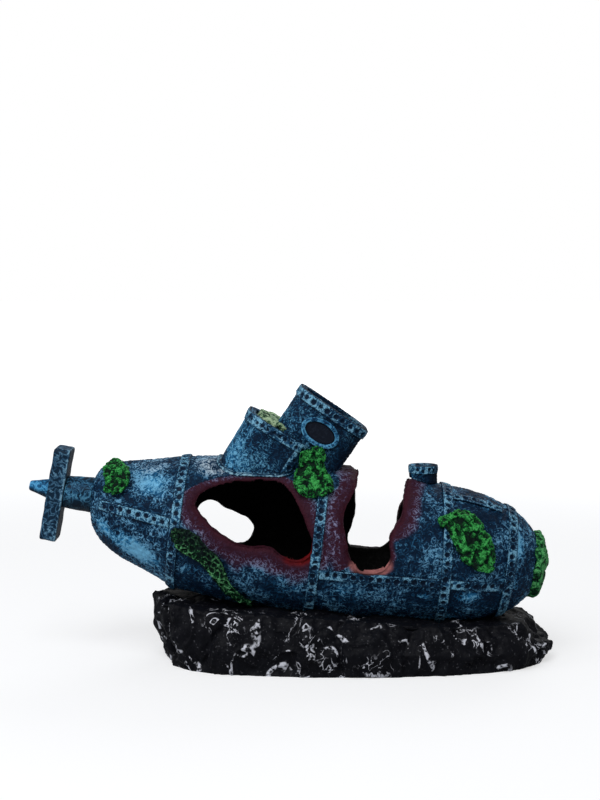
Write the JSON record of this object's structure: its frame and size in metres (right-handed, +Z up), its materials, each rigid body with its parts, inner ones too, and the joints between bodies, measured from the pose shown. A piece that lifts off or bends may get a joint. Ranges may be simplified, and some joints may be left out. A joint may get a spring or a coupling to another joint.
{
  "type": "aquarium air ornament",
  "caption": "Sunken submarine aquarium ornament on a rock, hollow with open breaches, riveted straps, leaning tower and moss, with an air inlet that bubbles through the hull.",
  "frame": {"origin": "middle of the flat underside's plane, below the hull's stern third, where the hull frame's stern joint stands 36.65 mm aft", "axes": "+X towards the bow along the hull, +Y to port (away from the side with the large window), +Z up"},
  "size_m": [0.1724, 0.0623, 0.0902],
  "materials": {
    "hull_paint": "hand-painted cast resin, dark navy wash dry-brushed with light blue, maroon round the breaches",
    "strap_paint": "light blue dry-brushed resin relief with dark rivet pits",
    "screw_paint": "grey-blue painted resin with pale edges",
    "moss_paint": "stippled green painted resin",
    "rock_paint": "black painted resin with white veins, slightly glossy",
    "pane_paint": "dark painted recess",
    "air_tube": "moulded black plastic",
    "seal_rubber": "moulded",
    "air_stone": "sintered grit"
  },
  "bodies": {
    "ornament": {"air_elbow": "air_tube", "air_riser": "air_tube", "air_spigot": "air_tube", "bow_hoop": "strap_paint", "hull_bow": "hull_paint", "hull_midship": "hull_paint", "hull_stern": "hull_paint", "midship_hoop": "strap_paint", "moss_bow": "moss_paint", "moss_deck": "moss_paint", "moss_nose": "moss_paint", "moss_port": "moss_paint", "moss_side": "moss_paint", "moss_stern": "moss_paint", "moss_tower": "moss_paint", "nose_hoop": "strap_paint", "port_corner_strap": "strap_paint", "port_deck_strap": "strap_paint", "port_porthole_pane": "pane_paint", "port_porthole_ring": "strap_paint", "port_side_strap": "strap_paint", "port_stern_strap": "strap_paint", "riser_grommet": "seal_rubber", "rock_base": "rock_paint", "screw": "screw_paint", "screw_cone": "screw_paint", "screw_shaft": "screw_paint", "starboard_corner_strap": "strap_paint", "starboard_deck_strap": "strap_paint", "starboard_porthole_pane": "pane_paint", "starboard_porthole_ring": "strap_paint", "starboard_side_strap": "strap_paint", "starboard_stern_strap": "strap_paint", "stern_hoop": "strap_paint", "tower_flange": "strap_paint", "tower_lower": "hull_paint", "tower_lower_rim": "strap_paint", "tower_upper": "hull_paint", "tower_upper_rim": "strap_paint", "vent_band": "strap_paint", "vent_stub": "hull_paint"},
    "loose_stone": {"air_stone": "air_stone"}
  },
  "joints": [
    {"name": "air_stone_lift", "type": "slide", "parent": "ornament", "child": "loose_stone", "axis": [0.1226, 0, 0.9925], "range_m": [0, 0.075]}
  ]
}
